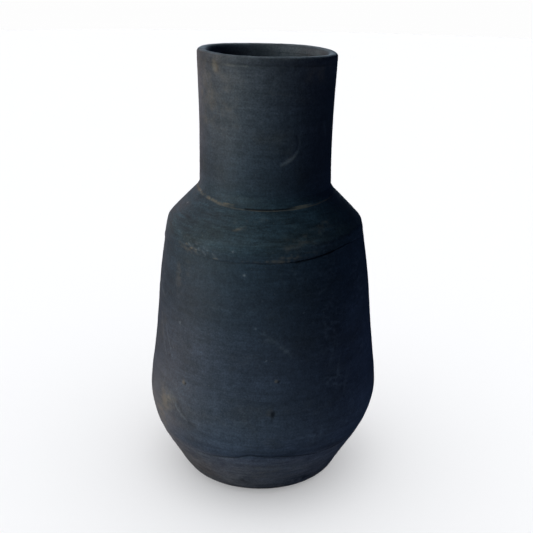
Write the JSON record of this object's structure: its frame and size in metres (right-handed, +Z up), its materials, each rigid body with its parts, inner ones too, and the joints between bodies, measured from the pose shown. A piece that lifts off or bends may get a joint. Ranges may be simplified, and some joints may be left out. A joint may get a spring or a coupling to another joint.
{
  "type": "hand-built black clay jar",
  "caption": "Hand-built matte black clay jar with a flared lower bowl, tapering wall, coned shoulder, tall straight neck and rounded lip, luted together from clay sections.",
  "frame": {"origin": "centre of the foot, on the surface that the jar stands on", "axes": "+Z up the jar's axis and out of its mouth; +X and +Y are interchangeable, since the jar is round"},
  "size_m": [0.1644, 0.1644, 0.3012],
  "materials": {
    "black_clay": "matte, finely brushed",
    "joint_slip": "matte, dry"
  },
  "bodies": {
    "root": {"floor_disc": "black_clay", "lower_bowl": "black_clay", "body_wall": "black_clay", "shoulder_ring": "black_clay", "neck_tube": "black_clay", "rim_coil": "black_clay", "floor_joint_slip": "joint_slip", "bowl_joint_slip": "joint_slip", "shoulder_joint_slip": "joint_slip", "neck_joint_slip": "joint_slip", "rim_joint_slip": "joint_slip"}
  },
  "joints": []
}
